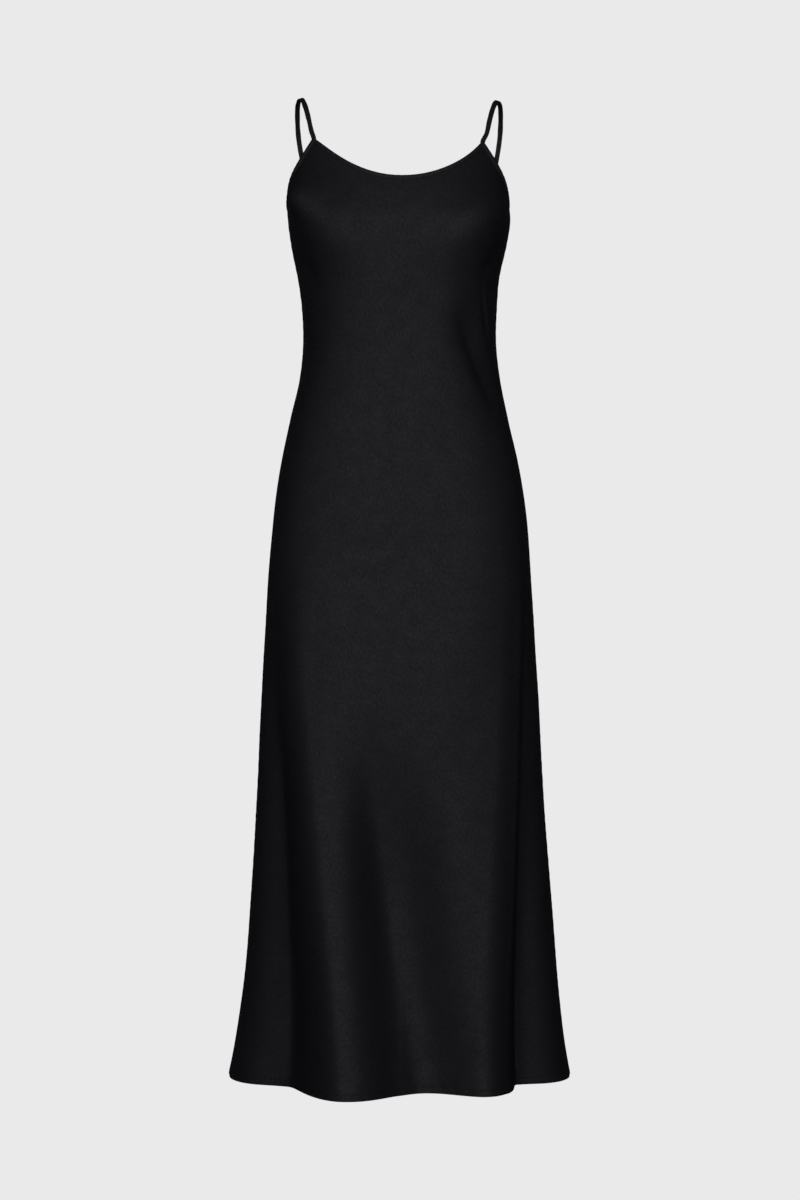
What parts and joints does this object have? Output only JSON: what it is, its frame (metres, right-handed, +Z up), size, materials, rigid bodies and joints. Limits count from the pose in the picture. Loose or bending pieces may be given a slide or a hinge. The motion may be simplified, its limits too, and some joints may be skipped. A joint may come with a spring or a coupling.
{
  "type": "slip dress",
  "caption": "Long bias-cut slip dress with a scooped neckline, narrow shoulder straps and a softly flared, folded skirt, filled out as worn.",
  "frame": {"origin": "midway between the two straps, level with the underside of their highest points, where the wearer's shoulders or a hanger hold the dress", "axes": "+Z up along the dress, front of the dress towards -Y, +X towards the wearer's left side"},
  "size_m": [0.4457, 0.3394, 1.271],
  "materials": {
    "cloth": "black satin-backed crepe with a fine dull grain and a soft sheen",
    "binding": "the same black crepe, folded and stitched flat"
  },
  "bodies": {
    "root": {"front_panel": "cloth", "back_panel": "cloth", "neck_binding_front": "binding", "neck_binding_back": "binding", "armhole_binding_left": "binding", "armhole_binding_right": "binding", "strap_left": "binding", "strap_right": "binding"}
  },
  "joints": []
}
